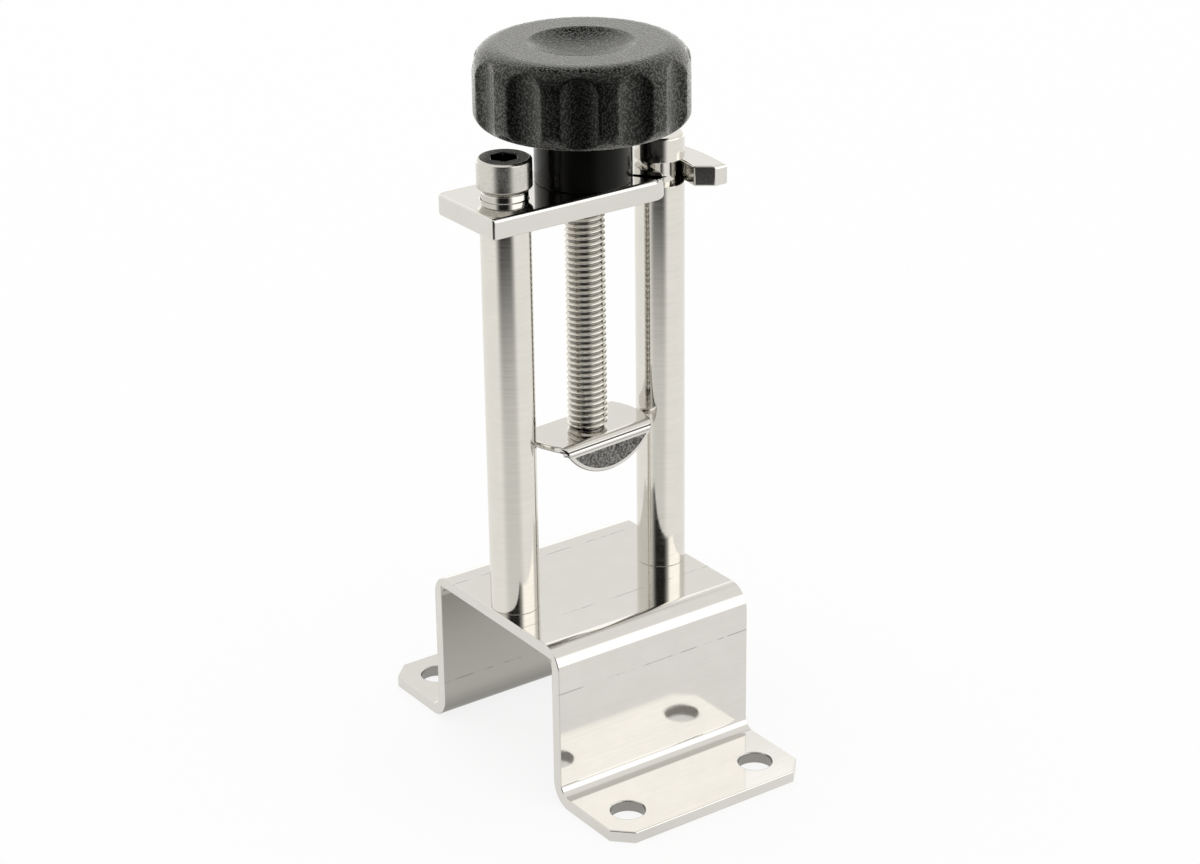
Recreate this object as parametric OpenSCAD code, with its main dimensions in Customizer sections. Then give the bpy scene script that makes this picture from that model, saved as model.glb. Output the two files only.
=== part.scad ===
// Chain fairlead with a swing-over clamp bar, for a boat's bow.
// The chain runs along Y, between the two posts and over the bracket's top face.
// A knob and spindle in the bar press a folded pad down onto the chain.
// Origin: centre of the four foot holes, on the underside of the feet.
// +X runs from the pivot post to the latch post, and +Z is up.

/* [Chain gap and posts] */
// Clear width between the two posts
chain_gap = 32; // [28:1:60]
// Diameter of the posts
post_d = 12; // [12:0.5:16]
// Height of the posts from the bracket's top face to the bar
post_h = 99.5; // [80:0.5:150]
// Distance from a post's side to the end of the bracket
post_edge = 0.25; // [0:0.25:10]
// Diameter of the neck that the bar's slot closes round
neck_d = 8; // [6:0.5:9]
// Height of the head above that neck
latch_head_h = 6; // [3:0.5:12]
// Chamfer on the head's edges
latch_chamfer = 0.5; // [0.2:0.1:1]

/* [Base bracket] */
// Width over the two upright legs
bracket_w = 54.5; // [44:0.5:80]
// Height of the top face above the underside of the feet
bracket_h = 41.5; // [25:0.5:80]
// Thickness of the sheet
sheet_t = 3; // [3:0.1:5]
// Inside radius of each fold
fold_r = 3; // [1:0.5:5]
// Length of each foot, from the leg's outer face to its tip
foot_l = 24.5; // [22:0.5:40]
// Cut at each outer corner of the feet
foot_corner = 4.5; // [1:0.5:8]
// Diameter of the foot holes
foot_hole_d = 8.5; // [5:0.1:10]
// Distance from a foot hole's centre to the foot's tip
hole_to_tip = 9.5; // [8:0.25:11]
// Distance from a foot hole's centre to the bracket's end
hole_to_end = 9; // [8:0.25:14]

/* [Post screws] */
// Thread diameter of the countersunk screws that hold the posts
foot_screw_d = 6; // [5:0.5:6]
// Length of those screws, head included
foot_screw_l = 16; // [12:1:30]
// Diameter of their countersunk heads
foot_screw_head_d = 11.6; // [9:0.1:11.8]
// Width across the flats of their sockets
foot_screw_key = 4; // [3:0.5:4]
// Depth of their sockets
foot_screw_key_h = 2; // [1:0.1:2.5]
// Gap round those screws in the bracket's holes
foot_screw_gap = 0.2; // [0.1:0.05:0.4]

/* [Swing bar] */
// Thickness of the bar
bar_t = 5; // [4:0.5:8]
// Width of the bar
bar_w = 24; // [22:0.5:32]
// Length of the bar beyond the pivot's axis
bar_tail = 11.3; // [9:0.1:20]
// Length of the bar beyond the latch post's axis
bar_nose = 12.4; // [9.5:0.1:20]
// Round of the bar's outer tail corner
bar_corner_r = 2; // [1:0.5:6]
// Gap between the slot's walls and the neck
slot_gap = 0.4; // [0.2:0.1:1]
// Round of the slot's inner lip
lip_r = 5; // [2:0.5:7]
// Depth of the slanted cut that opens the slot's outer lip
lip_cut = 3.1; // [1:0.1:5]
// Length of that cut along the bar
lip_cut_l = 4; // [1:0.1:4.5]
// Height that the bar can lift under the latch post's head
latch_play = 1; // [0.5:0.1:3]

/* [Pivot] */
// Thread diameter of the pivot screw
pivot_screw_d = 8; // [6:0.5:8]
// Length of the pivot screw under its head
pivot_screw_l = 25; // [20:1:40]
// Diameter of its head
pivot_head_d = 13; // [12.5:0.1:15]
// Height of its head
pivot_head_h = 8; // [5:0.5:10]
// Width across the flats of its socket
pivot_key = 6; // [4:0.5:7]
// Depth of its socket
pivot_key_h = 4; // [2:0.5:5]
// Cut under the head's edge
pivot_head_cut = 1.2; // [0.3:0.1:1.5]
// Chamfer on the head's upper edge
pivot_head_chamfer = 0.5; // [0.2:0.1:1]
// Wall of the sleeve that the bar turns on
sleeve_wall = 1.5; // [1:0.1:1.5]
// Height of the sleeve above the bar
sleeve_play = 1.6; // [0.5:0.1:3]
// Radial gap of the running fits
running_gap = 0.05; // [0.02:0.01:0.1]
// Radial gap round the screws, in threaded bores drawn as plain cylinders
thread_gap = 0.05; // [0.02:0.01:0.1]

/* [Spindle] */
// Thread diameter of the spindle
spindle_d = 10; // [8:0.5:12]
// Pitch of its thread, drawn as one ring for each turn
thread_pitch = 1.5; // [1:0.25:2]
// Free length from the bar to the pad, with the knob screwed right down
spindle_reach = 57.5; // [30:0.5:60]
// Diameter of the spigot that the pad swivels on
spigot_d = 7; // [5:0.5:7.5]
// Length of the spigot's tail below the retaining ring
spigot_tail = 1.2; // [0.8:0.1:2]

/* [Pressure pad] */
// Gap between the pad's edge and the posts
pad_gap = 0.4; // [0.3:0.1:2]
// Width of the pad's flat between its fold lines
pad_flat_w = 13.2; // [12.4:0.1:16]
// Thickness of the pad's sheet
pad_t = 1.5; // [1:0.1:2]
// Inside radius of the pad's folds
pad_fold_r = 0.8; // [0.5:0.1:1.5]
// Turn of the pad about the spindle
pad_turn = 5; // [-15:1:15]
// Diameter of the washer under the pad
washer_d = 13; // [11:0.1:13.2]
// Thickness of that washer
washer_t = 1; // [0.5:0.1:1.6]
// Diameter of the retaining ring
ring_d = 11; // [9:0.1:12]
// Thickness of the retaining ring
ring_t = 0.8; // [0.5:0.1:1.2]
// Depth of the ring's groove in the spigot
groove_depth = 0.4; // [0.2:0.05:0.6]

/* [Knob] */
// Diameter of the knob
knob_d = 51; // [44:1:70]
// Height of the knob's head above its hub
knob_h = 19.1; // [14:0.1:30]
// Diameter of the hub under the head
hub_d = 23; // [20:0.5:23.5]
// Height of that hub
hub_h = 13.8; // [11.6:0.1:25]
// Round of the knob's upper edge
shoulder_r = 5.8; // [2:0.1:7]
// Round of the knob's lower edge
knob_foot_r = 4; // [0.5:0.1:5]
// Diameter of the dish in the top
dish_d = 24.8; // [10:0.2:28]
// Depth of that dish
dish_depth = 3; // [1:0.1:4]
// Number of finger flutes round the knob
flute_n = 12; // [8:1:14]
// Depth of the flutes
flute_depth = 1.7; // [0.5:0.1:2.5]
// Angle that one flute takes of the knob's edge
flute_angle = 20; // [10:1:24]
// Turn of the knob about the spindle
knob_turn = 23.6; // [0:0.1:30]
// Diameter of the metal insert in the hub
insert_d = 16; // [15:0.5:17]
// Length of the insert
insert_l = 16; // [10:0.5:20]
// Depth and height of the groove that keys the insert in the hub
insert_groove = 1; // [0.5:0.1:1.2]
// Metal left over the spindle's end inside the insert
insert_cap = 2; // [1:0.5:4]

/* [Hidden] */
$fn = 96;

// How far a cutter runs past the face that it cuts
over = 1;

// Places along X
post_x = (chain_gap + post_d) / 2;
bracket_l = chain_gap + 2 * post_d + 2 * post_edge;
latch_r = 2 * post_x;

// Heights
bar_z = bracket_h + post_h;
bar_top = bar_z + bar_t;
latch_neck_h = bar_t + latch_play;
sleeve_h = bar_t + sleeve_play;
head_z = bar_z + sleeve_h;
pad_top = bar_z - spindle_reach;
washer_z = pad_top - pad_t - washer_t;
ring_z = washer_z - ring_t;
knob_z = bar_top + hub_h;

// Bracket
fold_outer = fold_r + sheet_t;
foot_tip = bracket_w / 2 + foot_l;
foot_hole_x = bracket_l / 2 - hole_to_end;
foot_hole_y = foot_tip - hole_to_tip;

// Pivot and latch
sleeve_d = pivot_screw_d + 2 * sleeve_wall;
slot_half = neck_d / 2 + slot_gap;
slot_inner_r = latch_r - slot_half;
slot_outer_r = latch_r + slot_half;

// Pad
pad_r = chain_gap / 2 - pad_gap;
pad_fold_outer = pad_fold_r + pad_t;
pad_half = pad_flat_w / 2;
groove_d = spigot_d - 2 * groove_depth;

// Thread of the spindle: an ISO metric profile, with flanks at 30 degrees to the radius
thread_depth = 0.61 * thread_pitch;
thread_crest = thread_pitch / 8;
thread_flank = thread_depth * tan(30);

// Insert
insert_bore_l = insert_l - insert_cap;

// Quarter of a ring, in the corner where both coordinates are positive
module quarter_ring(r_in, r_out) {
    intersection() {
        difference() {
            circle(r = r_out);
            circle(r = r_in);
        }
        square(r_out + over);
    }
}

// Half section of a turned disc, with a round at its lower and upper edges
module disc_section(r, h, low_r, high_r) {
    translate([0, low_r]) square([r, h - low_r - high_r]);
    square([r - low_r, low_r]);
    translate([0, h - high_r]) square([r - high_r, high_r]);
    intersection() {
        translate([r - low_r, low_r]) circle(r = low_r);
        square([r, low_r]);
    }
    intersection() {
        translate([r - high_r, h - high_r]) circle(r = high_r);
        translate([0, h - high_r]) square([r, high_r]);
    }
}

// Turned rod with a chamfer at its upper end
module chamfered_rod(d, h, chamfer) {
    cylinder(d = d, h = h - chamfer);
    translate([0, 0, h - chamfer])
        cylinder(d1 = d, d2 = d - 2 * chamfer, h = chamfer);
}

// Half of the bracket's folded section: x is across the bracket, y is up
module bracket_half_section() {
    translate([0, bracket_h - sheet_t]) square([bracket_w / 2 - fold_outer, sheet_t]);
    translate([bracket_w / 2 - fold_outer, bracket_h - fold_outer])
        quarter_ring(fold_r, fold_outer);
    translate([bracket_w / 2 - sheet_t, fold_outer])
        square([sheet_t, bracket_h - 2 * fold_outer]);
    translate([bracket_w / 2 + fold_r, fold_outer])
        rotate(180) quarter_ring(fold_r, fold_outer);
    translate([bracket_w / 2 + fold_r, 0]) square([foot_l - fold_r, sheet_t]);
}

// Outline of the bracket seen from above, with its four corners cut
module bracket_plan() {
    x = bracket_l / 2;
    y = foot_tip;
    c = foot_corner;
    polygon([[x - c, y], [x, y - c], [x, c - y], [x - c, -y],
             [c - x, -y], [-x, c - y], [-x, y - c], [c - x, y]]);
}

// Folded sheet with two feet: a flat top, two legs and four folds
module base_bracket() {
    color("gainsboro")
    difference() {
        intersection() {
            rotate([90, 0, 90])
                translate([0, 0, -bracket_l / 2])
                    linear_extrude(bracket_l) {
                        bracket_half_section();
                        mirror([1, 0]) bracket_half_section();
                    }
            linear_extrude(bracket_h) bracket_plan();
        }
        for (x = [-foot_hole_x, foot_hole_x], y = [-foot_hole_y, foot_hole_y])
            translate([x, y, -over]) cylinder(d = foot_hole_d, h = sheet_t + 2 * over);
        for (x = [-post_x, post_x])
            translate([x, 0, bracket_h - sheet_t]) countersunk_hole();
    }
}

// Hole and countersink for one post screw, from the sheet's underside up
module countersunk_hole() {
    hole_d = foot_screw_d + 2 * foot_screw_gap;
    cone_h = (foot_screw_head_d - hole_d) / 2;
    translate([0, 0, -over]) cylinder(d = hole_d, h = sheet_t + 2 * over);
    cylinder(d1 = foot_screw_head_d, d2 = hole_d, h = cone_h);
}

// Screw hole up into the foot of a post
module post_foot_hole() {
    hole_l = foot_screw_l - sheet_t + 2;
    translate([0, 0, bracket_h - over])
        cylinder(d = foot_screw_d + 2 * thread_gap, h = hole_l + over);
}

// Post that the bar swings on, with a screw hole at each end
module pivot_post() {
    screw_hole_l = pivot_screw_l - sleeve_h + 3;
    color("silver")
    translate([-post_x, 0, 0])
    difference() {
        translate([0, 0, bracket_h]) cylinder(d = post_d, h = post_h);
        post_foot_hole();
        translate([0, 0, bar_z - screw_hole_l])
            cylinder(d = pivot_screw_d + 2 * thread_gap, h = screw_hole_l + over);
    }
}

// Post with a turned neck and head that the bar's slot hooks round
module latch_post() {
    color("silver")
    translate([post_x, 0, 0])
    difference() {
        union() {
            translate([0, 0, bracket_h]) cylinder(d = post_d, h = post_h);
            translate([0, 0, bar_z]) cylinder(d = neck_d, h = latch_neck_h);
            translate([0, 0, bar_z + latch_neck_h])
                chamfered_rod(post_d, latch_head_h, latch_chamfer);
        }
        post_foot_hole();
    }
}

// Countersunk socket screw, head down, with its flat face at the sheet's underside
module post_screw() {
    cone_h = (foot_screw_head_d - foot_screw_d) / 2;
    difference() {
        union() {
            cylinder(d1 = foot_screw_head_d, d2 = foot_screw_d, h = cone_h);
            cylinder(d = foot_screw_d, h = foot_screw_l);
        }
        translate([0, 0, -over])
            cylinder(d = foot_screw_key / cos(30), h = foot_screw_key_h + over, $fn = 6);
    }
}

// The two screws that hold the posts, put in from below
module post_screws() {
    color("darkgray")
    for (x = [-post_x, post_x])
        translate([x, 0, bracket_h - sheet_t]) post_screw();
}

// Sleeve round the pivot screw, a little longer than the bar is thick
module pivot_sleeve() {
    color("silver")
    translate([-post_x, 0, bar_z])
    difference() {
        chamfered_rod(sleeve_d, sleeve_h, sleeve_wall / 5);
        translate([0, 0, -over])
            cylinder(d = pivot_screw_d + 2 * thread_gap, h = sleeve_h + 2 * over);
    }
}

// Socket head cap screw that clamps the sleeve on the pivot post
module pivot_screw() {
    color("silver")
    translate([-post_x, 0, head_z])
    difference() {
        union() {
            cylinder(d1 = pivot_head_d - 2 * pivot_head_cut, d2 = pivot_head_d, h = pivot_head_cut);
            translate([0, 0, pivot_head_cut])
                chamfered_rod(pivot_head_d, pivot_head_h - pivot_head_cut, pivot_head_chamfer);
            translate([0, 0, -pivot_screw_l]) cylinder(d = pivot_screw_d, h = pivot_screw_l + over);
        }
        translate([0, 0, pivot_head_h - pivot_key_h])
            cylinder(d = pivot_key / cos(30), h = pivot_key_h + over, $fn = 6);
    }
}

// Everything between two angles, seen from the origin, out to radius r
module wedge(r, from, to) {
    polygon([[0, 0], [r * cos(from), r * sin(from)], [r * cos(to), r * sin(to)]]);
}

// The slot, seen from the pivot's axis: an arc that lets the neck out as the bar swings
module latch_slot() {
    exit_angle = asin(bar_w / slot_inner_r);
    translate([latch_r, 0]) circle(r = slot_half);
    intersection() {
        difference() {
            circle(r = slot_outer_r);
            circle(r = slot_inner_r);
        }
        wedge(2 * slot_outer_r, -exit_angle, 0);
    }
}

// Round of the slot's inner lip, tangent to the slot's wall and to the bar's edge
module inner_lip_cut() {
    lip_y = lip_r - bar_w / 2;
    lip_x = sqrt(pow(slot_inner_r - lip_r, 2) - pow(lip_y, 2));
    lip_angle = atan2(lip_y, lip_x);
    translate([lip_x, lip_y])
    difference() {
        wedge(2 * lip_r, -90, lip_angle);
        circle(r = lip_r);
    }
}

// Slanted cut that opens the slot's outer lip
module outer_lip_cut() {
    y = -bar_w / 2;
    x = sqrt(pow(slot_outer_r, 2) - pow(y + lip_cut, 2));
    over_l = over * lip_cut_l / lip_cut;
    polygon([[x, y + lip_cut], [x + lip_cut_l + over_l, y - over],
             [x - slot_half, y - over], [x - slot_half, y + lip_cut]]);
}

// Round of the bar's outer tail corner
module tail_corner_cut() {
    x = bar_corner_r - bar_tail;
    y = bar_w / 2 - bar_corner_r;
    difference() {
        translate([-bar_tail - over, y]) square([bar_corner_r + over, bar_corner_r + over]);
        translate([x, y]) circle(r = bar_corner_r);
    }
}

// Bar that swings over the chain: its nose and its slot are arcs about the pivot
module swing_bar() {
    color("gainsboro")
    translate([-post_x, 0, bar_z])
    linear_extrude(bar_t)
    difference() {
        intersection() {
            translate([-bar_tail, -bar_w / 2]) square([bar_tail + latch_r + bar_nose, bar_w]);
            circle(r = latch_r + bar_nose);
        }
        circle(d = sleeve_d + 2 * running_gap);
        translate([post_x, 0]) circle(d = spindle_d + 2 * thread_gap);
        latch_slot();
        inner_lip_cut();
        outer_lip_cut();
        tail_corner_cut();
    }
}

// Threaded rod: a chamfer at its foot, then one thread groove after another to its end
module threaded_rod(d, h) {
    r = d / 2;
    root_r = r - thread_depth;
    turns = floor((h - 2 * thread_depth) / thread_pitch);
    groove = [[r, 0], [root_r, thread_flank],
              [root_r, thread_pitch - thread_crest - thread_flank], [r, thread_pitch - thread_crest]];
    rotate_extrude()
        polygon(concat([[0, 0], [root_r, 0], [r, thread_depth]],
                       [for (i = [0 : turns - 1], p = groove)
                           p + [0, thread_depth + thread_crest + i * thread_pitch]],
                       [[r, h], [0, h]]));
}

// Threaded spindle, with a spigot and a ring groove at its foot
module spindle() {
    spindle_l = spindle_reach + bar_t + insert_bore_l;
    color("silver") {
        translate([0, 0, pad_top]) threaded_rod(spindle_d, spindle_l);
        translate([0, 0, ring_z + ring_t]) cylinder(d = spigot_d, h = pad_top - ring_z - ring_t);
        translate([0, 0, ring_z]) cylinder(d = groove_d, h = ring_t);
        translate([0, 0, ring_z - spigot_tail]) cylinder(d = spigot_d, h = spigot_tail);
    }
}

// Outside of the insert: a rod with a groove round its middle
module insert_form() {
    difference() {
        cylinder(d = insert_d, h = insert_l);
        translate([0, 0, (insert_l - insert_groove) / 2])
        difference() {
            cylinder(d = insert_d + 2 * over, h = insert_groove);
            cylinder(d = insert_d - 2 * insert_groove, h = insert_groove);
        }
    }
}

// Metal insert moulded into the hub, threaded on the spindle's upper end
module knob_insert() {
    color("darkgray")
    translate([0, 0, bar_top])
    difference() {
        insert_form();
        translate([0, 0, -over])
            cylinder(d = spindle_d + 2 * thread_gap, h = insert_bore_l + over);
    }
}

// One finger flute: a round cutter as deep and as wide as the flute at the knob's edge
module flute_cutter() {
    half_chord = knob_d / 2 * sin(flute_angle / 2);
    rise = flute_depth - knob_d / 2 * (1 - cos(flute_angle / 2));
    cutter_r = (pow(half_chord, 2) + pow(rise, 2)) / (2 * rise);
    translate([knob_d / 2 - flute_depth + cutter_r, 0, -over])
        cylinder(r = cutter_r, h = knob_h + 2 * over);
}

// Moulded knob: a hub, a fluted head with a round shoulder, and a dished top
module knob_body() {
    dish_r = (pow(dish_d / 2, 2) + pow(dish_depth, 2)) / (2 * dish_depth);
    color([0.16, 0.16, 0.15])
    difference() {
        union() {
            translate([0, 0, bar_top]) cylinder(d = hub_d, h = hub_h + knob_foot_r);
            translate([0, 0, knob_z])
            difference() {
                rotate_extrude() disc_section(knob_d / 2, knob_h, knob_foot_r, shoulder_r);
                for (i = [0 : flute_n - 1])
                    rotate(knob_turn + i * 360 / flute_n) flute_cutter();
            }
        }
        translate([0, 0, knob_z + knob_h - dish_depth + dish_r]) sphere(r = dish_r);
        translate([0, 0, bar_top]) insert_form();
    }
}

// Channel section of the pad, without its flanges: x is across the pad, y is up
module pad_half_section() {
    translate([0, -pad_t]) square([pad_half, pad_t]);
    translate([pad_half, -pad_fold_outer]) quarter_ring(pad_fold_r, pad_fold_outer);
}

// Pad cut from a round blank, with both sides folded down across the chain
module pressure_pad() {
    flange_y = pad_half + pad_fold_r;
    color("gainsboro")
    translate([0, 0, pad_top])
    rotate(pad_turn)
    difference() {
        union() {
            intersection() {
                rotate([90, 0, 90])
                    translate([0, 0, -pad_r])
                        linear_extrude(2 * pad_r) {
                            pad_half_section();
                            mirror([1, 0]) pad_half_section();
                        }
                translate([0, 0, -pad_fold_outer]) cylinder(r = pad_r, h = pad_fold_outer);
            }
            for (side = [0, 1])
                mirror([0, side, 0]) pad_flange(flange_y);
        }
        translate([0, 0, -pad_t - over])
            cylinder(d = spigot_d + 2 * running_gap, h = pad_t + 2 * over);
    }
}

// Half-moon flange at distance y from the spindle's axis
module pad_flange(y) {
    intersection() {
        translate([0, y + pad_t, pad_half]) rotate([90, 0, 0]) cylinder(r = pad_r, h = pad_t);
        translate([-pad_r, y, -pad_r]) cube([2 * pad_r, pad_t, pad_r - pad_fold_outer]);
    }
}

// Washer between the pad and the retaining ring
module pad_washer() {
    color("darkgray")
    translate([0, 0, washer_z])
    difference() {
        cylinder(d = washer_d, h = washer_t);
        translate([0, 0, -over])
            cylinder(d = spigot_d + 2 * running_gap, h = washer_t + 2 * over);
    }
}

// Split ring that snaps into the spigot's groove
module retaining_ring() {
    mouth_w = groove_d * 0.8;
    color("darkgray")
    translate([0, 0, ring_z])
    linear_extrude(ring_t)
    difference() {
        circle(d = ring_d);
        circle(d = groove_d);
        translate([0, -mouth_w / 2]) square([ring_d, mouth_w]);
    }
}

base_bracket();
pivot_post();
latch_post();
post_screws();
pivot_sleeve();
pivot_screw();
swing_bar();
spindle();
knob_body();
knob_insert();
pressure_pad();
pad_washer();
retaining_ring();
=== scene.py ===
"""Chain fairlead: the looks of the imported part, laid out as a Blender add-on and run as a script.

Each operator makes one piece, or one group of like pieces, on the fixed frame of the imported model.
Lengths are metres, in the frame of the part: +X runs from the pivot post to the latch post, +Z is up.
"""

import math

import bmesh
import bpy
from mathutils import Matrix, Vector


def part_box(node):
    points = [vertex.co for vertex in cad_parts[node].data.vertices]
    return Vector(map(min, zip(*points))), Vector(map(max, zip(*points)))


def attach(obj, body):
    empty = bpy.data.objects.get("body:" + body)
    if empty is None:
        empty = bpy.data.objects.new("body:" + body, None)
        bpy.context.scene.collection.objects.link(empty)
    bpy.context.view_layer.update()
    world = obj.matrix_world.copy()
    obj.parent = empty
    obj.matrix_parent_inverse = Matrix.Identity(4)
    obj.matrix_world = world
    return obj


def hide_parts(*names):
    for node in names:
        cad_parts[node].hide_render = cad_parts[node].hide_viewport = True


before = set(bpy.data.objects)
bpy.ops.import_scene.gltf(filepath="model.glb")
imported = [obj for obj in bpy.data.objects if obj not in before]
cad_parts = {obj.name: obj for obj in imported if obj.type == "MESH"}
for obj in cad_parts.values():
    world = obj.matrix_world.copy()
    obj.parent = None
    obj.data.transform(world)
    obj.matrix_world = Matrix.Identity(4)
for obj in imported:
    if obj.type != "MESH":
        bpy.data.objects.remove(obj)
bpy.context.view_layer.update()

bl_info = {
    "name": "Chain fairlead",
    "version": (1, 0, 0),
    "blender": (4, 5, 0),
    "location": "3D View > Sidebar > Fairlead",
    "description": "Makes the finished pieces of a chain fairlead on its packed frame",
    "category": "Object",
}

MM = 0.001

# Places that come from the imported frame
FOOT_LOW, FOOT_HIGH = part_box("base_bracket")
PIVOT_LOW, PIVOT_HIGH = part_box("pivot_post")
LATCH_LOW, LATCH_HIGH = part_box("latch_post")
SLEEVE_LOW, SLEEVE_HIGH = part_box("pivot_sleeve")
BAR_LOW, BAR_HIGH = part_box("swing_bar")
SCREW_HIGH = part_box("pivot_screw")[1]
SPINDLE_LOW, SPINDLE_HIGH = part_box("spindle")
KNOB_LOW, KNOB_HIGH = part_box("knob_body")
INSERT_LOW, INSERT_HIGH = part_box("knob_insert")
PAD_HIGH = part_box("pressure_pad")[1]
RING_LOW, RING_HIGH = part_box("retaining_ring")
PIVOT_X = (PIVOT_LOW.x + PIVOT_HIGH.x) / 2
LATCH_X = (LATCH_LOW.x + LATCH_HIGH.x) / 2
SLEEVE_X = (SLEEVE_LOW.x + SLEEVE_HIGH.x) / 2
POST_RADIUS = (PIVOT_HIGH.y - PIVOT_LOW.y) / 2
SPINDLE_RADIUS = (SPINDLE_HIGH.y - SPINDLE_LOW.y) / 2

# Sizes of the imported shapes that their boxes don't give.
# INSIDE runs from the bracket's middle to the inside of a leg, FOLD is the outer radius of its bends, and
# PAD_CENTRE is how far the centre of the pad's half moons lies above its top.
INSIDE, FOLD = 24.25 * MM, 6 * MM
HOLE_X, HOLE_Y, HOLE_RADIUS = 19.25 * MM, 42.25 * MM, 4.25 * MM
FOOT_HOLE_RADIUS, FOOT_HOLE_DEPTH = 3.05 * MM, 15 * MM
HEAD_HOLE_RADIUS, HEAD_HOLE_DEPTH = 4.05 * MM, 21.4 * MM
NECK_RADIUS, HEAD_HEIGHT, HEAD_CHAMFER = 4 * MM, 6 * MM, 0.5 * MM
SLEEVE_BORE, SLEEVE_CHAMFER = 4.05 * MM, 0.3 * MM
SPIGOT_RADIUS, SPIGOT_CHAMFER, GROOVE_RADIUS = 3.5 * MM, 0.2 * MM, 3.1 * MM
PAD_TURN, PAD_RADIUS, PAD_CENTRE = math.radians(5), 15.6 * MM, 6.6 * MM

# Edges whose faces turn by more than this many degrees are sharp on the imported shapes
SHARP = 32

# A vector times LEVEL has no height
LEVEL = (1, 1, 0)
BLACK = (0, 0, 0, 1)


# Sizes and colours that a user would change

def length_property(name, description, default, least, most):
    """One length of the property group, from its values in millimetres."""
    return bpy.props.FloatProperty(
        name=name, description=description, default=default * MM, min=least * MM, max=most * MM,
        precision=5, unit="LENGTH")


class FairleadSizes(bpy.types.PropertyGroup):
    sheet_edge: length_property(
        "Sheet edge", "Round that polishing leaves on the bracket's edges", 0.25, 0.05, 1)
    bar_edge: length_property("Bar edge", "Widest round on the edges of the swing bar", 0.9, 0.05, 1)
    pad_edge: length_property("Pad edge", "Round on the edges of the pressed pad", 0.45, 0.05, 0.7)
    screw_edge: length_property(
        "Screw edge", "Round on the edges of the screws and small turned pieces", 0.15, 0.02, 0.4)
    thread_pitch: length_property("Thread pitch", "Rise of the spindle's thread in one turn", 1.5, 0.5, 3)
    thread_depth: length_property(
        "Thread depth", "Height of the thread's crest over its root", 0.92, 0.2, 1.5)
    knob_diameter: length_property("Knob diameter", "Diameter of the knob over its lands", 51, 30, 80)
    hub_diameter: length_property("Hub diameter", "Diameter of the hub under the knob's head", 23, 18, 30)
    hub_height: length_property("Hub height", "Height of that hub", 13.8, 5, 25)
    shoulder: length_property("Shoulder", "Round of the knob's upper edge", 5.8, 1, 8)
    knob_foot: length_property("Knob foot", "Round of the knob's lower edge", 4, 0.5, 6)
    dish_diameter: length_property("Dish diameter", "Diameter of the dish in the knob's top", 24.8, 5, 30)
    dish_depth: length_property("Dish depth", "Depth of that dish", 3, 0.5, 5)
    flutes: bpy.props.IntProperty(
        name="Flutes", description="Number of finger flutes round the knob",
        default=12, min=3, max=24)
    flute_depth: length_property("Flute depth", "Depth of each finger flute", 1.7, 0.3, 4)
    flute_angle: bpy.props.FloatProperty(
        name="Flute angle", description="Angle that one flute takes of the knob's edge",
        default=math.radians(20), min=math.radians(5), max=math.radians(60), subtype="ANGLE")
    knob_turn: bpy.props.FloatProperty(
        name="Knob turn", description="Turn of the first flute about the spindle",
        default=math.radians(23.6), subtype="ANGLE")


def linear(code):
    """Linear colour, with alpha, from an sRGB hex value such as #D8D5CF."""
    parts = [int(code[i:i + 2], 16) / 255 for i in (1, 3, 5)]
    return tuple(p / 12.92 if p <= 0.04045 else ((p + 0.055) / 1.055) ** 2.4 for p in parts) + (1.0,)


def colour_property(name, description, code):
    """One colour of the property group."""
    return bpy.props.FloatVectorProperty(
        name=name, description=description, subtype="COLOR", size=4, min=0, max=1,
        default=linear(code))


class FairleadColours(bpy.types.PropertyGroup):
    polished_steel: colour_property("Polished steel", "Mirror-polished stainless sheet", "#E0DEDB")
    satin_steel: colour_property("Satin steel", "Drawn and brushed stainless bar", "#E8E5DF")
    drilled_steel: colour_property("Drilled steel", "Walls of the bolt holes", "#979592")
    dull_steel: colour_property("Dull steel", "Stainless left as pressed or cut", "#B4B2AD")
    mill_steel: colour_property("Mill steel", "Stainless left as it came from the rolling mill", "#B2B0AB")
    # Root steel gives painted shade in the thread's roots, along with their grease, and at the foot of the
    # bracket's inside; it also tones the bracket's scored lines.
    root_steel: colour_property("Root steel", "Dark roots of the rolled thread", "#4E4C49")
    # Painted shade: this black is painted on the screw's flat top, under the knob's head, and in its
    # socket.
    painted_screw_shade: colour_property("Oiled steel", "Blackened top of the cap screw", "#3C3B39")
    # Tumbled steel is partly a painted dark reflection on the pad's sides; it also tones the dark lines
    # along the pad's folds.
    tumbled_steel: colour_property("Tumbled steel", "Tumbled sides of the pad", "#454442")
    knob_black: colour_property("Knob black", "Moulded black of the knob", "#0B0B0A")
    paper_white: colour_property("Paper white", "Paper that the object stands on", "#F7F7F6")
    studio_white: colour_property("Studio white", "Surroundings that the steel reflects", "#FFFEFA")


def sizes():
    return bpy.context.scene.fairlead_sizes


def colours():
    return bpy.context.scene.fairlead_colours


# Nodes and materials

def add(tree, kind, inputs=None, **settings):
    """Adds one node with its settings. Each input is a value, or another node's socket to link."""
    node = tree.nodes.new(kind)
    for name, value in settings.items():
        setattr(node, name, value)
    for key, value in (inputs or {}).items():
        socket = node.inputs[key]
        if isinstance(value, bpy.types.NodeSocket):
            tree.links.new(value, socket)
        else:
            socket.default_value = value
    return node


def calc(tree, operation, *values):
    """One sum of a tree, as its output socket."""
    return add(tree, "ShaderNodeMath", dict(enumerate(values)), operation=operation).outputs["Value"]


def calc_vector(tree, operation, *values, gives="Vector"):
    """One sum of vectors, as its output socket. It gives a vector, or a number if gives is Value."""
    return add(tree, "ShaderNodeVectorMath", dict(enumerate(values)), operation=operation).outputs[gives]


def axes_of(tree, vector):
    """A vector's X, Y and Z, as sockets by name."""
    return add(tree, "ShaderNodeSeparateXYZ", {"Vector": vector}).outputs


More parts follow.
